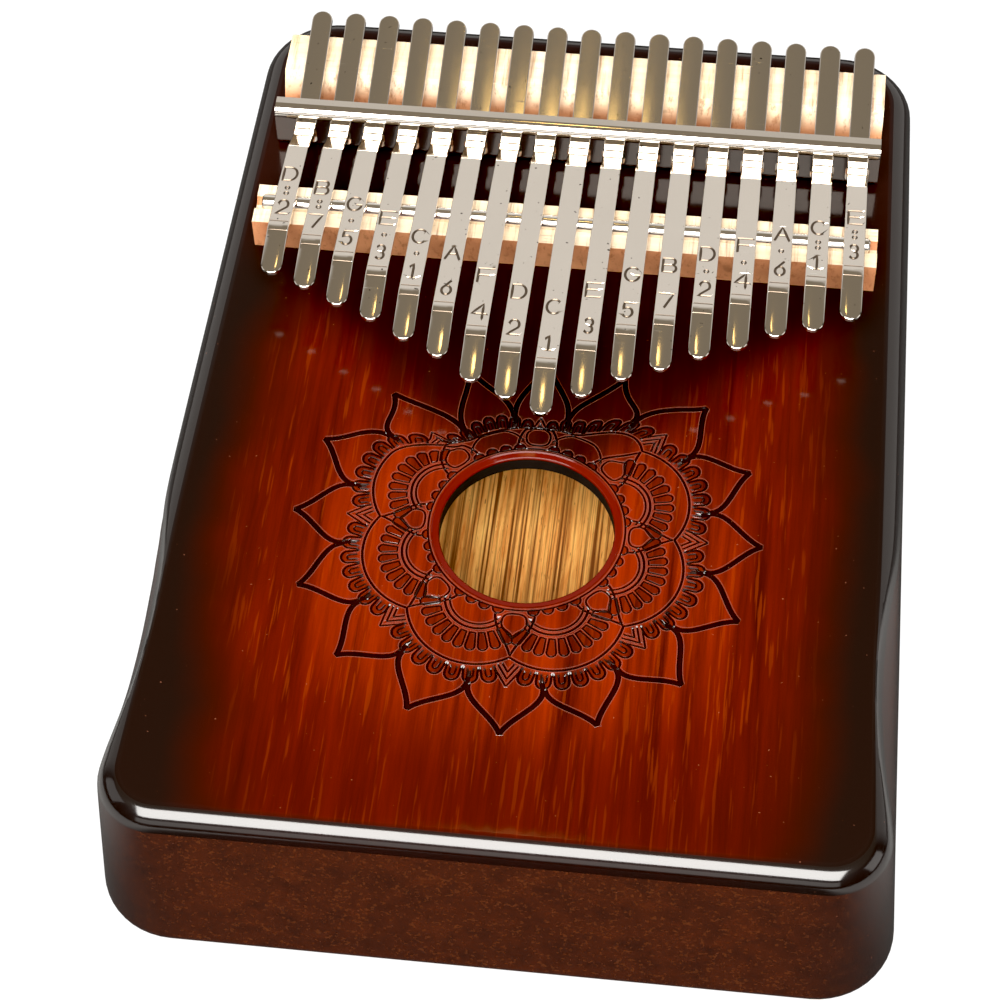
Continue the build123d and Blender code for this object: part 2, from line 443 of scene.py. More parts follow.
def topTint(tree, parts, grain):
    edge = placeGroup(tree, burst, **lacquer["burst"])["Edge"]
    tint = blendColours(tree, grain["Streaks"], lacquer["between"], lacquer["middle"])
    tint = blendColours(tree, scaled(tree, grain["Pores"], lacquer["fleckShare"]), tint, lacquer["fleck"])
    alongside = sums(tree, "SUBTRACT", parts[1], lacquer["warmCentre"])
    away = addNode(tree, "ShaderNodeCombineXYZ", {0: parts[0], 1: alongside}).outputs[0]
    away = addNode(tree, "ShaderNodeVectorMath", {0: away}, operation="LENGTH").outputs["Value"]
    warmth = remap(tree, away, *lacquer["warmReach"], lacquer["warmShare"], 0.0, smooth=True)
    tint = blendColours(tree, sums(tree, "MULTIPLY", warmth, grain["Streaks"]), tint, lacquer["warm"])
    shade = remap(tree, parts[1], *lacquer["frontShade"], 0.0, lacquer["frontShare"])
    tint = blendColours(tree, shade, tint, lacquer["between"])
    halfway = remap(tree, edge, *lacquer["halfwayEdge"], smooth=True)
    tint = blendColours(tree, halfway, tint, lacquer["halfway"])
    outer = remap(tree, edge, *lacquer["edgeEdge"], smooth=True)
    tint = blendColours(tree, outer, tint, lacquer["edge"])
    # painted shadow of the tines: the top darkens behind a line that runs back at its sides
    slope = scaled(tree, sums(tree, "ABSOLUTE", parts[0]), lacquer["underSlope"])
    behind = remap(tree, sums(tree, "SUBTRACT", parts[1], slope), *lacquer["underEdge"], smooth=True)
    tint = blendColours(tree, scaled(tree, behind, lacquer["underShare"]), tint, lacquer["paintedTineShadow"])
    deep = ((boardTop - depth) * millimetre for depth in lacquer["grooveDepth"])
    depth = remap(tree, parts[2], *deep, 1.0, 0.0)
    tint = blendColours(tree, scaled(tree, depth, lacquer["grooveShare"]), tint, lacquer["groove"])
    # painted highlight: the raised lips beside the grooves are tinted lighter, as if their edges caught the
    # light
    high = ((boardTop + height) * millimetre for height in lacquer["lipHighlightHeight"])
    raised = remap(tree, parts[2], *high, 0.0, lacquer["lipHighlightShare"])
    return blendColours(tree, raised, tint, lacquer["lipHighlight"])


def sideTint(tree, parts, grain):
    tint = blendColours(tree, grain["Streaks"], lacquer["sideDark"], lacquer["side"])
    flecks = scaled(tree, grain["Pores"], lacquer["sideFleckShare"])
    tint = blendColours(tree, flecks, tint, lacquer["sideFleck"])
    across = remap(tree, sums(tree, "ABSOLUTE", parts[0]), *lacquer["endAcross"], smooth=True)
    along = remap(tree, parts[1], *lacquer["endAlong"], 0.0, lacquer["endShare"])
    return blendColours(tree, sums(tree, "MULTIPLY", across, along), tint, lacquer["edge"])


def lacquerMaterial(name, tintOf):
    material, tree, shader = newMaterial(name, **{
        "Coat Roughness": lacquer["coatRoughness"], "Coat IOR": lacquer["coatIor"],
        "Specular IOR Level": lacquer["specular"], "Roughness": lacquer["roughness"],
    })
    grain = placeGroup(tree, fibreGrain, **lacquer["grain"])
    wear = placeGroup(tree, handlingWear, **lacquer["wear"])
    tint = tintOf(tree, partsOf(tree, objectPlace(tree)), grain)
    tint = blendColours(tree, scaled(tree, wear["Specks"], lacquer["speckShare"]), tint, lacquer["speck"])
    coat = remap(tree, facing(tree)[2], *lacquer["flatFacing"], 1.0, lacquer["flatCoat"])
    relief = bump(tree, grain["Streaks"], lacquer["grainDepth"], lacquer["grainStrength"])
    feed(tree, shader, Base_Color=tint, Coat_Weight=coat, Normal=relief)
    return material


holeRim = {
    "grain": {"Across": 420.0, "Along": 24.0, "Pores": 0.6},
    "dark": colour(92, 16, 8),
    "light": colour(96, 20, 5),
    "coat": 0.35,
    "coatRoughness": 0.1,
    "roughness": 0.5,
}


def holeRimMaterial(name):
    material, tree, shader = newMaterial(name, **{
        "Coat Weight": holeRim["coat"], "Coat Roughness": holeRim["coatRoughness"],
        "Specular IOR Level": lacquer["specular"], "Roughness": holeRim["roughness"],
    })
    grain = placeGroup(tree, fibreGrain, **holeRim["grain"])
    feed(tree, shader, Base_Color=blendColours(tree, grain["Streaks"], holeRim["dark"], holeRim["light"]))
    return material


bareWood = {
    "specular": 0.3,
    "relief": 0.00012,
    "reliefStrength": 0.6,
    "poreShare": 0.5,
    "poreShade": 0.45,
    "roughnessSpread": 0.1,
}


def plainWood(name, dark, light, grain, roughness):
    material, tree, shader = newMaterial(name, **{"Specular IOR Level": bareWood["specular"]})
    grain = placeGroup(tree, fibreGrain, **grain)
    tint = blendColours(tree, grain["Streaks"], dark, light)
    pores = scaled(tree, grain["Pores"], bareWood["poreShare"])
    tint = blendColours(tree, pores, tint, darker(dark, bareWood["poreShade"]))
    relief = bump(tree, grain["Streaks"], bareWood["relief"], bareWood["reliefStrength"])
    spread = (roughness - bareWood["roughnessSpread"], roughness + bareWood["roughnessSpread"])
    rough = remap(tree, grain["Streaks"], 0.0, 1.0, *spread)
    feed(tree, shader, Base_Color=tint, Normal=relief, Roughness=rough)
    return material


bridgeWood = {
    "roughness": 0.7,
    "grain": {"Across": 70.0, "Along": 420.0, "Pores": 0.45},
    "top": (colour(232, 200, 158), colour(255, 240, 214)),
    "front": (colour(166, 104, 70), colour(222, 158, 112)),
    "frontFacing": (-0.15, -0.35),
    "frontFade": 0.004,  # metres below the top where the front is at its full, darker colour; that darkening is painted shade, along with the sawn face's own darker tone
    "saw": (900, 60, 500),
    "sawEdge": (0.52, 0.68),
    "sawShare": 0.6,
    "sawTint": colour(150, 92, 54),
    "poreShare": 0.35,
    "pore": colour(120, 76, 46),
}


def bridgeMaterial(name, topZ):
    fixed = {"Specular IOR Level": bareWood["specular"], "Roughness": bridgeWood["roughness"]}
    material, tree, shader = newMaterial(name, **fixed)
    grain = placeGroup(tree, fibreGrain, **bridgeWood["grain"])
    saw = noise(tree, stretchedPlace(tree, bridgeWood["saw"]), 1.0, 3.0, 0.7)
    top = blendColours(tree, grain["Streaks"], *bridgeWood["top"])
    # front faces darker than the top: painted shade, along with the sawn faces' own darker tone
    front = blendColours(tree, grain["Streaks"], *bridgeWood["front"])
    towards = remap(tree, facing(tree)[1], *bridgeWood["frontFacing"])
    tall = partsOf(tree, objectPlace(tree))[2]
    low = remap(tree, tall, topZ, topZ - bridgeWood["frontFade"], smooth=True)
    tint = blendColours(tree, sums(tree, "MULTIPLY", towards, low), top, front)
    sawn = remap(tree, saw, *bridgeWood["sawEdge"], 0.0, bridgeWood["sawShare"])
    tint = blendColours(tree, sawn, tint, bridgeWood["sawTint"])
    tint = blendColours(tree, scaled(tree, grain["Pores"], bridgeWood["poreShare"]), tint, bridgeWood["pore"])
    height = sums(tree, "ADD", grain["Streaks"], saw)
    relief = bump(tree, height, bareWood["relief"], bareWood["reliefStrength"])
    feed(tree, shader, Base_Color=tint, Normal=relief)
    return material


plating = {
    "cloudShare": 0.12,
    "cloudShade": 0.7,
    "speckShare": 0.8,
    "speck": colour(60, 48, 40),
    "scratch": colour(250, 246, 240),
    "scratchRoughness": 0.1,
    "scratchDepth": 0.00002,
    "scratchStrength": 0.3,
    "roughnessRange": (0.8, 1.25),
}


def metal(name, tint, roughness, scratch, size=1.0, amount=0.55):
    material, tree, shader = newMaterial(name, Metallic=1.0)
    wear = placeGroup(tree, handlingWear, Size=size, Amount=amount)
    clouds = scaled(tree, wear["Clouds"], plating["cloudShare"])
    shade = blendColours(tree, clouds, tint, darker(tint, plating["cloudShade"]))
    shade = blendColours(tree, scaled(tree, wear["Specks"], plating["speckShare"]), shade, plating["speck"])
    shade = blendColours(tree, scaled(tree, wear["Scratches"], scratch), shade, plating["scratch"])
    spread = (roughness * share for share in plating["roughnessRange"])
    rough = remap(tree, wear["Clouds"], 0.0, 1.0, *spread)
    rough = sums(tree, "ADD", rough, scaled(tree, wear["Scratches"], plating["scratchRoughness"]))
    relief = bump(tree, wear["Scratches"], plating["scratchDepth"], plating["scratchStrength"])
    feed(tree, shader, Base_Color=shade, Roughness=rough, Normal=relief)
    return material


striped = {
    "roughness": 0.55,
    "grain": {"Across": 1500.0, "Along": 140.0, "Pores": 0.4},
    "ground": (colour(206, 120, 50), colour(255, 198, 112)),
    "stripes": (1300, 12, 1300),
    "stripeEdge": (0.47, 0.62),
    "stripe": colour(118, 66, 30),
    "poreShare": 0.7,
    "pore": colour(74, 44, 18),
    "relief": 0.0001,
    "reliefStrength": 0.5,
}


def stripedMaterial(name):
    fixed = {"Specular IOR Level": bareWood["specular"], "Roughness": striped["roughness"]}
    material, tree, shader = newMaterial(name, **fixed)
    grain = placeGroup(tree, fibreGrain, **striped["grain"])
    stripes = noise(tree, stretchedPlace(tree, striped["stripes"]), 1.0, 3.0, 0.6, 0.2)
    tint = blendColours(tree, grain["Streaks"], *striped["ground"])
    tint = blendColours(tree, remap(tree, stripes, *striped["stripeEdge"]), tint, striped["stripe"])
    tint = blendColours(tree, scaled(tree, grain["Pores"], striped["poreShare"]), tint, striped["pore"])
    relief = bump(tree, grain["Streaks"], striped["relief"], striped["reliefStrength"])
    feed(tree, shader, Base_Color=tint, Normal=relief)
    return material


innerGrain = {"Across": 400.0, "Along": 20.0, "Pores": 0.4}
braceGrain = {"Across": 60.0, "Along": 320.0, "Pores": 0.3}
frontBridgeTop, rearBridgeTop = 10.8, 5.4  # above the board

topLacquer = lacquerMaterial("lacqueredTop", topTint)
sideLacquer = lacquerMaterial("lacqueredSide", sideTint)
holeLacquer = holeRimMaterial("lacqueredHoleEdge")
# the wood inside the cavity and on the hole wall is made near black: painted shade of the hollow body
shadedCavityWood = plainWood("cavityWoodPaintedShade", colour(16, 10, 7), colour(26, 17, 11), innerGrain, 0.8)
zebraWood = stripedMaterial("zebraWood")
frontBridgeWood = bridgeMaterial("sawnPalePine", (boardTop + frontBridgeTop) * millimetre)
rearBridgeWood = bridgeMaterial("sawnRearPine", (boardTop + rearBridgeTop) * millimetre)
braceWood = plainWood("braceWood", colour(150, 104, 60), colour(196, 152, 100), braceGrain, 0.75)
tineNickel = metal("tineNickel", colour(226, 218, 208), 0.10, 0.3, 0.8, 0.78)
# faces down in the stamped marks get a darker, rougher nickel: the roughness is their own, the darkness is
# painted shade in the marks
markShadeNickel = metal("markShadeNickel", colour(120, 106, 92), 0.35, 0.1)
bracketNickel = metal("bracketNickel", colour(232, 224, 214), 0.07, 0.2)
rodSteel = metal("polishedRod", colour(236, 230, 222), 0.10, 0.15)
screwSteel = metal("screwSteel", colour(190, 186, 180), 0.22, 0.3)
print("materials made")

# Body: tapered, round cornered, with a hollowed grip on each side
body = {
    "frontWidth": 134.5,  # of the top outline, before its edge is rounded
    "rearWidth": 128.5,
    "frontCorner": 11.0,
    "rearCorner": 14.0,
    "topRound": 4.0,
    "bottomRound": 2.5,
    "flare": 3.3,  # the bottom outline stands this far outside the top one
    "gripY": -52.0,
    "gripRadius": 130.0,
    "gripDepth": 3.5,
    "gripLean": 19.6,
    "gripSoftening": 1.0,
    "gripReach": 120.0,  # along Y from its middle
    "gripFrom": 40.0,  # nothing nearer to the middle is trimmed
    "wall": 10.0,
    "wallRings": 13,
    "seamInset": 0.03,  # keeps two pieces that meet from sharing a face
    "outlineStep": 1.6,
}
halfLength = 94.0


def bodyOutline():
    front, rear = body["frontWidth"] / 2, body["rearWidth"] / 2
    path = [(0, -halfLength), (front, -halfLength), (rear, halfLength), (0, halfLength)]
    right = roundedPath(path, (body["frontCorner"], body["rearCorner"]), body["outlineStep"])
    loop = np.vstack([right, right[::-1][1:-1] * (-1, 1)])
    ahead = np.roll(loop, -1, axis=0) - np.roll(loop, 1, axis=0)
    ahead /= np.linalg.norm(ahead, axis=1)[:, None]
    return loop, np.stack([ahead[:, 1], -ahead[:, 0]], 1)


outline, outward = bodyOutline()
taper = (body["frontWidth"] - body["rearWidth"]) / 2 / (2 * halfLength)


def bodyRing(z, inset=0.0):
    ring = outline + outward * (body["flare"] * (1 - z / boardTop) - inset)
    edge = body["frontWidth"] / 2 - taper * (body["gripY"] + halfLength)
    depth = body["gripDepth"] - (boardTop - z) * math.tan(math.radians(body["gripLean"]))
    along = (ring[:, 1] - body["gripY"]).clip(-body["gripReach"], body["gripReach"])
    across = np.sqrt(body["gripRadius"] ** 2 - along ** 2)
    limit = edge - depth + body["gripRadius"] - across
    x = np.abs(ring[:, 0])
    trimmed = (x + limit - np.sqrt((x - limit) ** 2 + body["gripSoftening"] ** 2)) / 2
    x = np.where(x > body["gripFrom"], np.minimum(x, trimmed), x)
    return np.column_stack([np.sign(ring[:, 0]) * x, ring[:, 1], np.full(len(ring), z)])


def roundedLevels(radius, flatZ, direction):  # rings of a quarter round that ends flat at flatZ
    levels = []
    for a in np.radians(np.linspace(0, 90, 9)):
        z = flatZ - direction * radius * (1 - math.sin(a))
        levels.append(bodyRing(z, radius * (1 - math.cos(a))))
    return levels


def circle(centre, radius, z, count=120):
    angles = np.linspace(0, 2 * math.pi, count, endpoint=False)
    x, y = centre[0] + radius * np.cos(angles), centre[1] + radius * np.sin(angles)
    return np.column_stack([x, y, np.full(count, z)])


def cap(loops, z):
    found, faces = triangulate(loops)
    return np.column_stack([found, np.full(len(found), z)]), faces


def carvedTop(loops, z, strokes, hollows, fill):
    found, faces = triangulate(loops, strokeLines(strokes, flower["lip"]), fill)
    height = strokeHeight(found, strokes, flower["lip"], flower["lipHeight"])
    for hollow in hollows:
        near = np.nonzero(np.all((found > hollow.min(0)) & (found < hollow.max(0)), axis=1))[0]
        within = near[inside(found[near], hollow)]
        flat = height[within] > flower["flatAbove"]
        height[within] = np.where(flat, -flower["hollowDepth"], height[within])
    return np.column_stack([found, z + height]), faces


# The carved flower round the sound hole, drawn about the hole's centre
flower = {
    "centre": (0.0, -28.5),
    "holeRadius": 15.6,
    "rimRadius": 17.0,
    "petals": 16,
    "lobes": 8,
    "petalTip": 42.7,
    "petalFoot": (6.45, 33.3),
    "lobeCentre": 18.0,
    "lobeRadius": 12.7,
    "fanCentre": 17.2,
    "thin": (0.24, 0.26, 0.35),  # half width, depth, flat share
    "fine": (0.20, 0.20, 0.35),
    "wide": (0.50, 0.42, 0.55),
    "lip": 0.18,
    "lipHeight": 0.03,
    "hollowDepth": 0.05,
    "flatAbove": -0.02,  # a point lower than this lies in a groove
    "rearPull": 8.6,  # the drawing is drawn in towards the hole at the rear
    "rearBegin": (135, 118),  # degrees where that starts, right and left
    "rearTurn": 30,
    "rearRadii": (22.0, 9.0),  # where a pull starts, and how far out it takes to be full
    "tipRadii": (35, 7),
    "tipRelief": 0.35,
    "sidePull": 1.0,
    "sideRadii": (17.6, 9),
    "petalWaist": (0.6, 3.3),
    "petalShoulder": (1.7, 3.7),  # from the tip
    "stem": ((0.1, 0.5), (0.25, 1.0), (0.35, 1.5)),
    "lobeArc": (35, 145),
    "bead": (1.26, 13.5, 15.2),  # half width, foot, shoulder
    "beadCore": (0.50, 13.9, 14.9),
    "beadTurn": 12.3,
    "fanLine": (5.2, 22, 158),  # radius, start, end
    "fanEdge": (6.1, 24, 156),
    "plainFan": 30,  # the fans this near to the rear have no tongues
    "tongueFoot": (0.50, 7.0),
    "tongueRound": (9.8, 0.84),
    "tongueTurn": 13.0,
    "scallopTurns": (-12.5, -4.2, 4.2, 12.5),
    "scallop": (17.7, 0.95),
    "drop": (2.2, 18.3, 23.2, 20.3),
    "wing": ((3.45, 18.6), (3.6, 21.0), (1.1, 23.8), (0, 26.9)),
    "chevrons": ((2.5, 29.4, 33.2), (1.75, 29.0, 31.7), (1.0, 28.7, 30.3)),
    "rimLine": 0.55,  # outside the rim
    "fineStep": 0.3,  # between the points of the small curves
}


def turned(points, degrees, centre=(0, 0)):  # local points are (sideways, outwards)
    points = np.asarray(points, float)
    a = math.radians(degrees)
    x = centre[0] + points[:, 0] * math.cos(a) + points[:, 1] * math.sin(a)
    y = centre[1] - points[:, 0] * math.sin(a) + points[:, 1] * math.cos(a)
    return np.column_stack([x, y])


def outwards(radius, start, width):
    return np.clip((radius - start) / width, 0, 1)


def onBoard(points, degrees):  # 0 degrees points at the player
    flat = turned(points, degrees)
    radius = np.linalg.norm(flat, axis=1)
    angle = np.degrees(np.arctan2(flat[:, 0], flat[:, 1]))
    begin = np.where(angle > 0, flower["rearBegin"][0], flower["rearBegin"][1])
    rear = np.clip((np.abs(angle) - begin) / flower["rearTurn"], 0, 1)
    rear = rear * rear * (3 - 2 * rear) * outwards(radius, *flower["rearRadii"])
    rear *= 1 - flower["tipRelief"] * outwards(radius, *flower["tipRadii"])
    side = np.sin(np.radians(angle)) ** 2 * outwards(radius, *flower["sideRadii"])
    pulled = radius - flower["rearPull"] * rear - flower["sidePull"] * side
    return flat * (pulled / radius)[:, None] * (1, -1) + flower["centre"]


def loopOfBead(half, foot, shoulder):
    crown = arc((0, shoulder), half, 180, 0, flower["fineStep"])
    return np.vstack([[(-half, foot)], crown, [(half, foot)]])


def teardrop(half, foot, point, shoulder):
    lower = bezier((0, foot), (half * 0.7, foot), (half, shoulder - half * 0.75), (half, shoulder), 8)
    pulls = (half, shoulder + half * 0.7), (half * 0.25, point - half * 0.6)
    side = np.vstack([lower, bezier((half, shoulder), *pulls, (0, point), 9)[1:]])
    return np.vstack([side[::-1], (side * (-1, 1))[1:]])


def drawPetals():
    strokes = []
    tip, foot = flower["petalTip"], np.array(flower["petalFoot"])
    shoulder = (flower["petalShoulder"][0], tip - flower["petalShoulder"][1])
    for petal in range(flower["petals"]):
        axis = 360 / flower["petals"] * petal
        for side in (-1, 1):
            edge = bezier(foot, foot + flower["petalWaist"], shoulder, (0, tip), 20) * (side, 1)
            strokes.append((onBoard(edge, axis), *flower["wide"]))
        stem = bezier(foot, *(foot - np.array(step) for step in flower["stem"]), 4)
        strokes.append((onBoard(stem, axis), *flower["wide"]))
    return strokes


def drawLobe(axis):  # an arch with a ring of beads, and a fan of tongues inside it
    strokes, hollows = [], []
    step = flower["fineStep"]
    centre, fan = (0, flower["lobeCentre"]), (0, flower["fanCentre"])
    arch = arc(centre, flower["lobeRadius"], *flower["lobeArc"])
    strokes.append((onBoard(arch, axis), *flower["thin"]))
    for place in range(-3, 4):
        turn = place * flower["beadTurn"]
        bead = onBoard(turned(loopOfBead(*flower["bead"]), turn, centre), axis)
        core = onBoard(turned(loopOfBead(*flower["beadCore"]), turn, centre), axis)
        strokes.extend([(bead, *flower["thin"]), (core, *flower["fine"])])
        hollows.append(bead)
    strokes.append((onBoard(arc(fan, *flower["fanLine"]), axis), *flower["fine"]))
    if abs(axis - 180) > flower["plainFan"]:
        strokes.append((onBoard(arc(fan, *flower["fanEdge"]), axis), *flower["thin"]))
        half, foot = flower["tongueFoot"]
        high, radius = flower["tongueRound"]
        for place in np.arange(-4.5, 5):
            crown = arc((0, high), radius, 180, 0, step)
            tongue = np.vstack([[(-half, foot)], crown, [(half, foot), (-half, foot)]])
            tongue = onBoard(turned(tongue, place * flower["tongueTurn"], fan), axis)
            strokes.append((tongue, *flower["fine"]))
            hollows.append(tongue)
    for turn in flower["scallopTurns"]:
        high, radius = flower["scallop"]
        scallop = onBoard(turned(arc((0, high), radius, 180, 0, step), turn), axis)
        strokes.append((scallop, *flower["fine"]))
        hollows.append(scallop)
    return strokes, hollows


def drawBetween(axis):  # the drop, its wings and the chevrons between two lobes
    strokes = [(onBoard(teardrop(*flower["drop"]), axis), *flower["fine"])]
    for side in (-1, 1):
        wing = bezier(*flower["wing"], 14) * (side, 1)
        strokes.append((onBoard(wing, axis), *flower["thin"]))
    for half, shoulder, point in flower["chevrons"]:
        fall = point - shoulder
        pulls = (half / 3, point - fall / 3), (half / 1.5, point - fall / 1.5)
        for side in (-1, 1):
            chevron = bezier((0, point), *pulls, (half, shoulder), 5) * (side, 1)
            strokes.append((onBoard(chevron, axis), *flower["fine"]))
    return strokes


def drawFlower():
    strokes, hollows = drawPetals(), []
    for lobe in range(flower["lobes"]):
        lines, loops = drawLobe(360 / flower["lobes"] * (lobe + 0.5))
        strokes += lines + drawBetween(360 / flower["lobes"] * lobe)
        hollows += loops
    rim = arc(flower["centre"], flower["rimRadius"] + flower["rimLine"], 0, 360)
    strokes.append((rim, *flower["fine"]))
    return strokes, hollows


hole = {
    "round": 0.45,  # of its upper edge
    "roundAngles": (0, 22, 45, 68, 90),
    "rimStep": (0.25, 0.16),  # inwards and down from the flat of the board
    "rimDrop": 0.26,
}
fillGrid = {  # loose points that keep the flat board's triangles even
    "step": 4.0,
    "halfWidth": 60.0,
    "halfLength": 88.0,
    "within": 57,
    "clearOfPetals": 1.5,
}


def holeEdge():
    inwards, down = hole["rimStep"]
    rim = circle(flower["centre"], flower["rimRadius"], boardTop)
    rings = [rim, circle(flower["centre"], flower["rimRadius"] - inwards, boardTop - down)]
    for a in np.radians(hole["roundAngles"]):
        wide, low = (hole["round"] * (1 - value) for value in (math.sin(a), math.cos(a)))
        z = boardTop - hole["rimDrop"] - low
        rings.append(circle(flower["centre"], flower["holeRadius"] + wide, z))
    return rings


def boardFill():
    step, halfWidth, length = fillGrid["step"], fillGrid["halfWidth"], fillGrid["halfLength"]
    across = np.arange(-halfWidth, halfWidth + 0.1, step)
    xs, ys = np.meshgrid(across, np.arange(-length, length + 0.1, step))
    fill = np.column_stack([xs.ravel(), ys.ravel()])
    away = np.linalg.norm(fill - flower["centre"], axis=1)
    far = away > flower["petalTip"] + fillGrid["clearOfPetals"]
    return fill[far & (np.abs(fill[:, 0]) < fillGrid["within"])]


def makeSoundboard():
    sheet = Sheet()
    top = roundedLevels(body["topRound"], boardTop, 1)
    levels = [bodyRing(boardLow[2], body["seamInset"])]
    levels += [ring for ring in top if ring[0][2] > boardLow[2] + 0.01]
    sheet.addRings(levels, 0)
    strokes, hollows = drawFlower()
    print("flower drawn with", len(strokes), "strokes")
    edge = holeEdge()
    sheet.add(*carvedTop([levels[-1], edge[0]], boardTop, strokes, hollows, boardFill()), 0)
    sheet.addRings(edge, 1)
    lower = circle(flower["centre"], flower["holeRadius"], boardLow[2])
    sheet.addRings([edge[-1], lower], 2)
    sheet.add(*cap([levels[0], lower], boardLow[2]), 2)
    return sheet.make("carvedSoundboard", 20.0)


def makeSideFrame():
    sheet = Sheet()
    low, high = wallLow[2], wallHigh[2]
    levels = []
    for z in np.linspace(low, high, body["wallRings"]):
        levels.append(bodyRing(z, body["seamInset"] if z == high else 0.0))
    sheet.addRings(levels, 0)
    cavity = outline - outward * body["wall"]
    lower, upper = (np.column_stack([cavity, np.full(len(cavity), z)]) for z in (low, high))
    sheet.addRings([lower, upper], 1)
    sheet.add(*cap([levels[0], lower], low), 1)
    sheet.add(*cap([levels[-1], upper], high), 1)
    return sheet.make("hollowSideFrame")


def makeBackPlate():
    sheet = Sheet()
    bottom = roundedLevels(body["bottomRound"], 0.0, -1)
    levels = bottom[::-1] + [bodyRing(wallLow[2])]
    sheet.addRings(levels, 0)
    sheet.add(*cap([levels[0]], 0.0), 0)
    sheet.add(*cap([levels[-1]], wallLow[2]), 1)
    return sheet.make("stripedBack")


def finishPiece(piece, node, materials):
    for material in materials:
        piece.data.materials.append(material)
    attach(piece, "body")
    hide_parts(node)


board = makeSoundboard()
finishPiece(board, "soundboard", [topLacquer, holeLacquer, shadedCavityWood])
even = board.modifiers.new("evenShading", "WEIGHTED_NORMAL")
even.weight = 100
even.keep_sharp = True
finishPiece(makeSideFrame(), "side_frame", [sideLacquer, shadedCavityWood])
finishPiece(makeBackPlate(), "back_plate", [sideLacquer, zebraWood])
print("body made")

# Tines: one bent strip each, over the rod, down in front of the bracket and up behind it
tine = {
    "width": 4.0,
    "gauge": 1.0,
    "bevel": 0.2,
    "bendFromTip": 10.3,
    "rise": 7.2,
    "tipFall": 8.0,
    "bendRadii": (6.0, 0.9, 0.9, 4.0),
    "pathStep": 1.6,
    "rodSeat": 8.75,  # underside above the board
    "crankTop": (50.6, 7.035),
    "crankFoot": (56.2, 4.3),
    "rearBend": (61.0, 4.3),
    "rearEnd": (85.3, 9.47),
    "tipCrown": 0.12,
    "rearCrown": 0.02,
    "tipCurve": 95.0,  # radius along the tip section
    "letterFromTip": 24.9,
    "digitFromTip": 15.4,
    "markSize": (2.7, 3.7),
    "markStroke": (0.25, 0.15, 0.3),
    "creaseStroke": (0.13, 0.06, 0.25),
    "creases": (-1.0, 1.1),  # before and after the bend near the tip
    "creaseInset": 0.1,
    "dotSpacing": 1.55,
    "dotRadius": 0.42,
    "dotStroke": (0.15, 0.12, 0.0),
    "allCrown": 0.012,
    "tipEase": 1.5,  # the length over which a crown comes in
    "rearEase": (6, 3),  # where the rear one starts behind the crank, and its length
    "stampedBelow": -0.01,
    "rib": 0.66,  # lines along the strip that keep its triangles even
    "ribMargin": 0.3,
    "endPoints": (0.8, 1.4),
    "endSpread": 0.6,
    "rim": (  # outwards and down from the top sheet's border
        (0.0, 0.0), (0.10, -0.05), (0.17, -0.12), (0.20, -0.24),
        (0.20, -0.82), (0.14, -0.94), (0.0, -1.0),
    ),
    "seatReach": 1.2,  # how far either side of the rod the strip eases over
}
tineMarks = (
    "D..2", "B..7", "G.5", "E.3", "C.1", "A6", "F4", "D2", "C1",
    "E3", "G5", "B7", "D.2", "F.4", "A.6", "C..1", "E..3",
)

marks = {  # strokes in a unit box, x to the right and y up
    "A": [[(0, 0), (0.5, 1), (1, 0)], [(0.2, 0.38), (0.8, 0.38)]],
    "B": [np.vstack([[(0.6, 0.52), (0, 0.52), (0, 1)], arc((0.6, 0.76), 0.24, 90, -90, 0.1)]),
          np.vstack([[(0, 0.52), (0, 0)], arc((0.66, 0.26), 0.26, -90, 90, 0.1)])],
    "C": [arc((0.5, 0.5), 0.5, 48, 312, 0.1)],
    "D": [np.vstack([[(0.4, 0), (0, 0), (0, 1)], arc((0.45, 0.5), 0.5, 90, -90, 0.1)])],
    "E": [[(1, 1), (0, 1), (0, 0), (1, 0)], [(0, 0.52), (0.8, 0.52)]],
    "F": [[(1, 1), (0, 1), (0, 0)], [(0, 0.52), (0.8, 0.52)]],
    "G": [np.vstack([arc((0.5, 0.5), 0.5, 48, 335, 0.1), [(0.96, 0.45), (0.6, 0.45)]])],
    "1": [[(0.25, 0.8), (0.5, 1), (0.5, 0)], [(0.25, 0), (0.75, 0)]],
    "2": [np.vstack([arc((0.5, 0.7), 0.34, 165, -35, 0.1), [(0.08, 0), (0.95, 0)]])],
    "3": [arc((0.48, 0.74), 0.27, 150, -80, 0.1), arc((0.48, 0.25), 0.27, 80, -150, 0.1)],
    "4": [[(0.74, 0), (0.74, 1), (0, 0.3), (1, 0.3)]],
    "5": [np.vstack([[(0.88, 1), (0.22, 1), (0.16, 0.55)], arc((0.46, 0.32), 0.34, 120, -140, 0.1)])],
    "6": [np.vstack([[(0.76, 1)], arc((0.5, 0.3), 0.32, 155, 515, 0.1)])],
    "7": [[(0.05, 1), (0.95, 1), (0.4, 0)]],
}


def tinePath(tipY):
    slope = math.tan(math.radians(tine["rise"]))
    bendY = tipY + tine["bendFromTip"]
    bendZ = tine["rodSeat"] + (rodY - bendY) * slope
    tipZ = bendZ - tine["bendFromTip"] * math.tan(math.radians(tine["tipFall"]))
    points = [(tipY, tipZ), (bendY, bendZ)]
    points += [tine[place] for place in ("crankTop", "crankFoot", "rearBend", "rearEnd")]
    return roundedPath(np.array(points) + (0, boardTop), tine["bendRadii"], tine["pathStep"])


def inThirds(line):
    thirds = np.linspace(0, 1, 4)[1:, None]
    return np.vstack([line[:1]] + [a + (b - a) * thirds for a, b in zip(line, line[1:])])


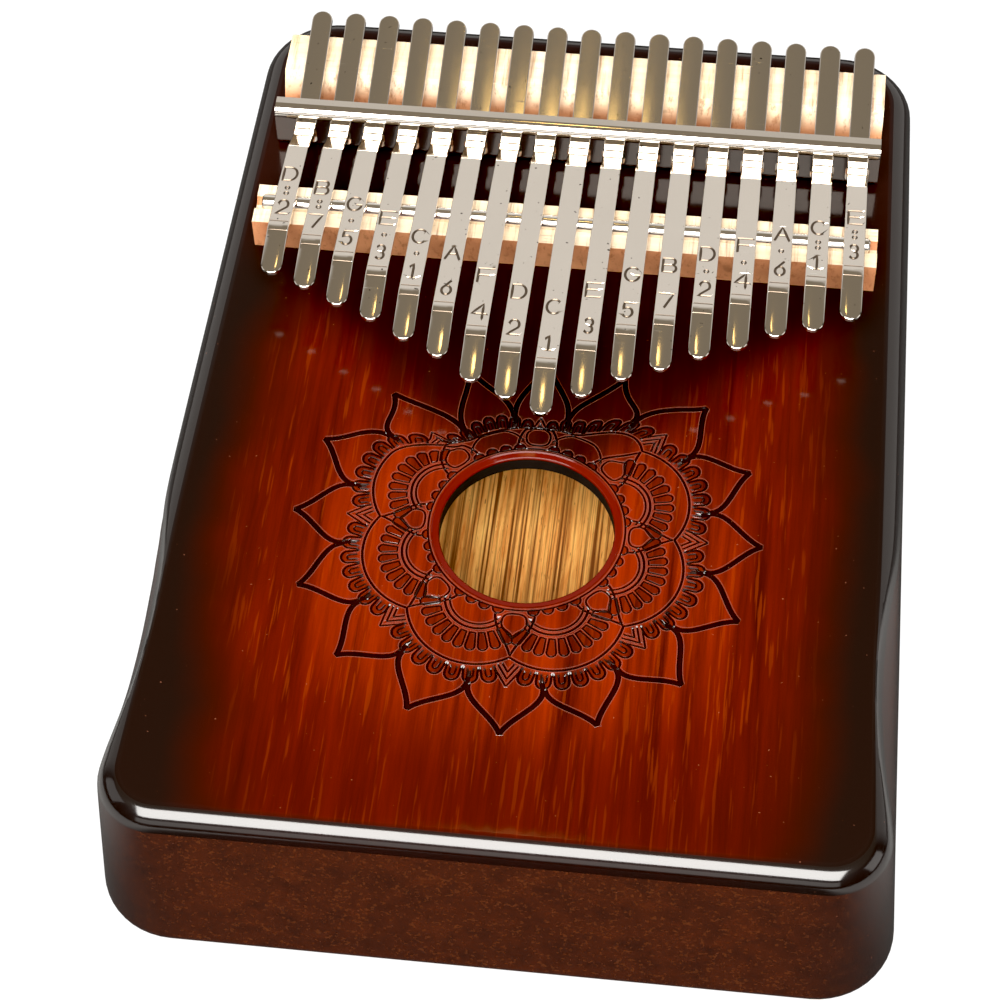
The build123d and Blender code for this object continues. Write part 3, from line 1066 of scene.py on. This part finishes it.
def markStrokes(text):  # text is a letter, its octave dots and a digit
    strokes = []
    for sign, place in ((text[0], tine["letterFromTip"]), (text[-1], tine["digitFromTip"])):
        for line in marks[sign]:
            line = (np.asarray(line, float) - 0.5) * tine["markSize"] + (0, place)
            strokes.append((inThirds(line), *tine["markStroke"]))
    dots = text.count(".")
    middle = (tine["letterFromTip"] + tine["digitFromTip"]) / 2
    for i in range(dots):
        centre = (0, middle + (i - (dots - 1) / 2) * tine["dotSpacing"])
        strokes.append((arc(centre, tine["dotRadius"], 0, 360, 0.2), *tine["dotStroke"]))
    return strokes


def stripLoop(half, start, end, inset):
    radius = half - inset
    return np.vstack([
        arc((0, start + half), radius, 180, 360, 0.35),
        [(radius, s) for s in np.linspace(start + half, end - half, 3)[1:-1]],
        arc((0, end - half), radius, 0, 180, 0.35),
        [(-radius, s) for s in np.linspace(end - half, start + half, 3)[1:-1]],
    ])


def creaseStrokes(bendS, reach):  # the two faint lines across the strip at its bend
    lines = [np.array([(-reach, bendS + step), (reach, bendS + step)]) for step in tine["creases"]]
    return [(line, *tine["creaseStroke"]) for line in lines]


def acrossLines(xs, places):
    return [np.array([(x, v) for x in xs]) for v in places]


def endPoints(total):
    near, far = tine["endPoints"]
    spread = tine["endSpread"]
    return [(x, v) for v in (near, far, total - far, total - near) for x in (-spread, 0, spread)]


def makeTine(number, middleX, tipY, text):
    path = tinePath(tipY)
    steps = np.linalg.norm(np.diff(path, axis=0), axis=1)
    s = np.concatenate([[0], np.cumsum(steps)])
    tangents = np.gradient(path, s, axis=0)
    tangents /= np.linalg.norm(tangents, axis=1)[:, None]
    normals = np.column_stack([-tangents[:, 1], tangents[:, 0]])
    half, total, bevel = tine["width"] / 2, s[-1], tine["bevel"]
    crankS = np.interp(tine["crankTop"][0], path[:, 0], s)
    bendS = tine["bendFromTip"] / math.cos(math.radians(tine["tipFall"]))
    rearStart, rearLength = tine["rearEase"]

    def onPath(points, height):
        y, z = np.interp(points[:, 1], s, path[:, 0]), np.interp(points[:, 1], s, path[:, 1])
        ny, nz = np.interp(points[:, 1], s, normals[:, 0]), np.interp(points[:, 1], s, normals[:, 1])
        length = np.hypot(ny, nz)
        lift = (tine["gauge"] + height) / length
        return np.column_stack([points[:, 0] + middleX, y + ny * lift, z + nz * lift])

    def crownAt(points):
        atTip = np.clip((bendS - points[:, 1]) / tine["tipEase"], 0, 1)
        atRear = np.clip((points[:, 1] - crankS - rearStart) / rearLength, 0, 1)
        crown = tine["tipCrown"] * atTip + tine["rearCrown"] * atRear + tine["allCrown"]
        along = np.minimum(points[:, 1] - bendS / 2, bendS / 2) ** 2 - (bendS / 2) ** 2
        return -crown * (points[:, 0] / half) ** 2 - along / (2 * tine["tipCurve"]) * (points[:, 1] < bendS)

    strokes = markStrokes(text) + creaseStrokes(bendS, half - bevel - tine["creaseInset"])
    margin, rib = half + tine["ribMargin"], tine["rib"]
    between = [v for v in s if margin < v < total - margin]
    cross = acrossLines((-half + bevel, -rib, rib, half - bevel), between)
    ribs = [np.array([(x, margin), (x, total - margin)]) for x in (-rib, rib)]
    inner = stripLoop(half, 0, total, bevel)
    found, faces = triangulate([inner], strokeLines(strokes) + cross + ribs, endPoints(total))
    height = strokeHeight(found, strokes) + crownAt(found)
    sheet = Sheet()
    # faces down in the stamped marks and creases take the darker finish, their painted shade
    stamped = strokeHeight(found[faces].mean(axis=1), strokes) < tine["stampedBelow"]
    sheet.add(onPath(found, height), faces[~stamped])
    sheet.add(onPath(found, height), faces[stamped], 1)
    # the bevelled rim is laid round the same points as the top sheet's border, so that they join
    border = borderLoop(found, faces)
    crown = crownAt(border)
    underside = -tine["gauge"]
    rings = []
    for grow, height in tine["rim"]:
        ring = growBorder(border, half, total, bevel, grow)
        level = np.full(len(ring), height) if height == underside else crown + height
        rings.append(onPath(ring, level))
    sheet.addRings(rings)
    bottom, faces = triangulate([border], acrossLines((-half + bevel, half - bevel), between))
    sheet.add(onPath(bottom, np.full(len(bottom), underside)), faces)
    return sheet.make(f"tine{number:02d}", 24.0)


def borderLoop(points, faces):
    seen = {}
    for a, b, c in faces:
        for i, j in ((a, b), (b, c), (c, a)):
            if (j, i) in seen:
                del seen[(j, i)]
            else:
                seen[(i, j)] = True
    following = {i: j for i, j in seen}
    start = next(iter(following))
    loop, at = [start], following[start]
    while at != start:
        loop.append(at)
        at = following[at]
    return points[loop]


def growBorder(border, half, total, bevel, grow):
    centre = np.column_stack([np.zeros(len(border)), np.clip(border[:, 1], half, total - half)])
    out = border - centre
    return border + out / (half - bevel) * grow


for number, text in enumerate(tineMarks, 1):
    shank, reed = f"tine_{number:02d}_shank", f"tine_{number:02d}_reed"
    reedLow, reedHigh = cornersOf(reed)
    piece = makeTine(number, (reedLow[0] + reedHigh[0]) / 2, reedLow[1], text)
    for material in (tineNickel, markShadeNickel):
        piece.data.materials.append(material)
    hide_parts(shank, reed)
    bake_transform(piece)
print("tines made")


# Pieces that keep the frame's own shape get a finish, and some a softened edge
def dressNode(name, material, edge=0.0):
    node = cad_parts[name]
    node.data.materials.clear()
    node.data.materials.append(material)
    if edge:
        soft = node.modifiers.new("softEdge", "BEVEL")
        soft.width = edge * millimetre
        soft.segments = 2
        soft.limit_method = "ANGLE"
        soft.angle_limit = math.radians(40)


dressNode("front_bridge", frontBridgeWood, 0.25)
dressNode("rear_bridge", rearBridgeWood, 0.25)
dressNode("saddle_rod", rodSteel, 0.2)
dressNode("bracket", bracketNickel)
dressNode("bracket_screws", screwSteel)
dressNode("bracket_brace", braceWood)
print("hardware dressed")

# Studio: the floor and sky look white, but light the mbira as the darker tones below do
studio = {
    "floorSize": 6.0,
    "floorDrop": 0.0002,
    "floorGrey": (0.05, 0.05, 0.05, 1),
    "floorSides": (0.42, 0.42, 0.42, 1),  # beside the body the floor throws more light
    "sidesEdge": (0.07, 0.13),
    "sidesFade": (0.03, -0.01, 0.2, 1.0),
    "white": (1, 1, 1, 1),
    "skyWhite": 1.5,
    "behindEdge": (0.25, 0.60),
    "horizon": (0.84, 0.81, 0.77, 1),
    "sides": (0.07, 0.066, 0.06, 1),
    "overhead": (0.26, 0.225, 0.175, 1),
    "skyEdge": (0.68, 0.80),  # sine of the elevation where the sky darkens
}

floorMesh = bpy.data.meshes.new("floor")
h = studio["floorSize"] / 2
floorMesh.from_pydata([(-h, -h, 0), (h, -h, 0), (h, h, 0), (-h, h, 0)], [], [(0, 1, 2, 3)])
floor = bpy.data.objects.new("floor", floorMesh)
scene.collection.objects.link(floor)
floor.location.z = -studio["floorDrop"]
floorMaterial = bpy.data.materials.new("paleFloor")
floorMaterial.use_nodes = True
floorTree = floorMaterial.node_tree
floorTree.nodes.clear()
spot = partsOf(floorTree, objectPlace(floorTree))
besides = remap(floorTree, sums(floorTree, "ABSOLUTE", spot[0]), *studio["sidesEdge"], smooth=True)
besides = sums(floorTree, "MULTIPLY", besides, remap(floorTree, spot[1], *studio["sidesFade"]))
paperTone = blendColours(floorTree, besides, studio["floorGrey"], studio["floorSides"])
paper = addNode(floorTree, "ShaderNodeBsdfDiffuse", {"Color": paperTone})
bright = addNode(floorTree, "ShaderNodeEmission", {"Color": studio["white"], "Strength": 1.0})
both = addNode(floorTree, "ShaderNodeAddShader", {0: paper.outputs[0], 1: bright.outputs[0]})
seen = addNode(floorTree, "ShaderNodeLightPath").outputs["Is Camera Ray"]
shown = addNode(floorTree, "ShaderNodeMixShader", {0: seen, 1: paper.outputs[0], 2: both.outputs[0]})
floorTree.links.new(shown.outputs[0], addNode(floorTree, "ShaderNodeOutputMaterial").inputs[0])
floorMesh.materials.append(floorMaterial)

sky = bpy.data.worlds.new("studioSky")
scene.world = sky
sky.use_nodes = True
skyTree = sky.node_tree
skyTree.nodes.clear()
direction = addNode(skyTree, "ShaderNodeTexCoord").outputs["Generated"]
headings = partsOf(skyTree, direction)
dim = remap(skyTree, headings[2], *studio["skyEdge"], smooth=True)
behindObject = remap(skyTree, headings[1], *studio["behindEdge"], smooth=True)
skyColour = blendColours(skyTree, behindObject, studio["sides"], studio["horizon"])
skyColour = blendColours(skyTree, dim, skyColour, studio["overhead"])
glow = addNode(skyTree, "ShaderNodeBackground", {"Color": skyColour, "Strength": 1.0})
plain = addNode(skyTree, "ShaderNodeBackground", {"Color": studio["white"], "Strength": studio["skyWhite"]})
seenSky = addNode(skyTree, "ShaderNodeLightPath").outputs["Is Camera Ray"]
shownSky = addNode(skyTree, "ShaderNodeMixShader", {0: seenSky, 1: glow.outputs[0], 2: plain.outputs[0]})
skyTree.links.new(shownSky.outputs[0], addNode(skyTree, "ShaderNodeOutputWorld").inputs[0])

panels = {  # place, aimed at, width, height, watts, colour
    "keyPanel": ((-0.05, -0.70, 1.02), (0, -0.02, 0.03), 1.2, 0.80, 40, (1.0, 0.98, 0.95)),
    "frontPanel": ((-0.10, -1.25, 0.45), (0, -0.05, 0.03), 1.4, 0.4, 2, (1.0, 0.97, 0.93)),
    "leftPanel": ((-1.2, -0.1, 0.7), (0, 0, 0.03), 0.7, 0.8, 1.5, (1.0, 0.98, 0.95)),
    "rightPanel": ((1.2, -0.2, 0.5), (0, 0, 0.03), 0.6, 0.7, 2, (1.0, 0.97, 0.94)),
    "goldenStrip": ((-0.066, 0.335, 0.98), (0, 0.02, 0.05), 0.045, 0.07, 0.07, (1.0, 0.66, 0.20)),
}
for name, (place, aim, width, height, watts, tint) in panels.items():
    light = bpy.data.lights.new(name, "AREA")
    light.shape = "RECTANGLE"
    light.size, light.size_y = width, height
    light.energy = watts
    light.color = tint
    lamp = bpy.data.objects.new(name, light)
    scene.collection.objects.link(lamp)
    lamp.location = place
    lamp.rotation_euler = (Vector(aim) - Vector(place)).to_track_quat("-Z", "Y").to_euler()
print("studio made")

# Camera: turned and raised about the middle of the board's top
view = {
    "lens": 102.8,
    "azimuth": 8.134,
    "elevation": 54.475,
    "roll": -1.949,
    "distance": 523.908,
    "sideways": -7.985,
    "upwards": -18.111,
}
azimuth, elevation, roll = (math.radians(view[key]) for key in ("azimuth", "elevation", "roll"))
flat = math.cos(elevation)
back = Vector((math.sin(azimuth) * flat, -math.cos(azimuth) * flat, math.sin(elevation)))
level = Vector((math.cos(azimuth), math.sin(azimuth), 0))
upright = back.cross(level)
right = level * math.cos(roll) + upright * math.sin(roll)
top = upright * math.cos(roll) - level * math.sin(roll)
eye = Vector((0, 0, boardTop)) + right * view["sideways"] + top * view["upwards"] + back * view["distance"]
cameraData = bpy.data.cameras.new("camera")
cameraData.lens = view["lens"]
cameraData.sensor_width = 36.0
cameraData.clip_start, cameraData.clip_end = 0.05, 20.0
camera = bpy.data.objects.new("camera", cameraData)
scene.collection.objects.link(camera)
camera.matrix_world = Matrix.Translation(eye * millimetre) @ Matrix((right, top, back)).transposed().to_4x4()
scene.camera = camera
print("camera placed")
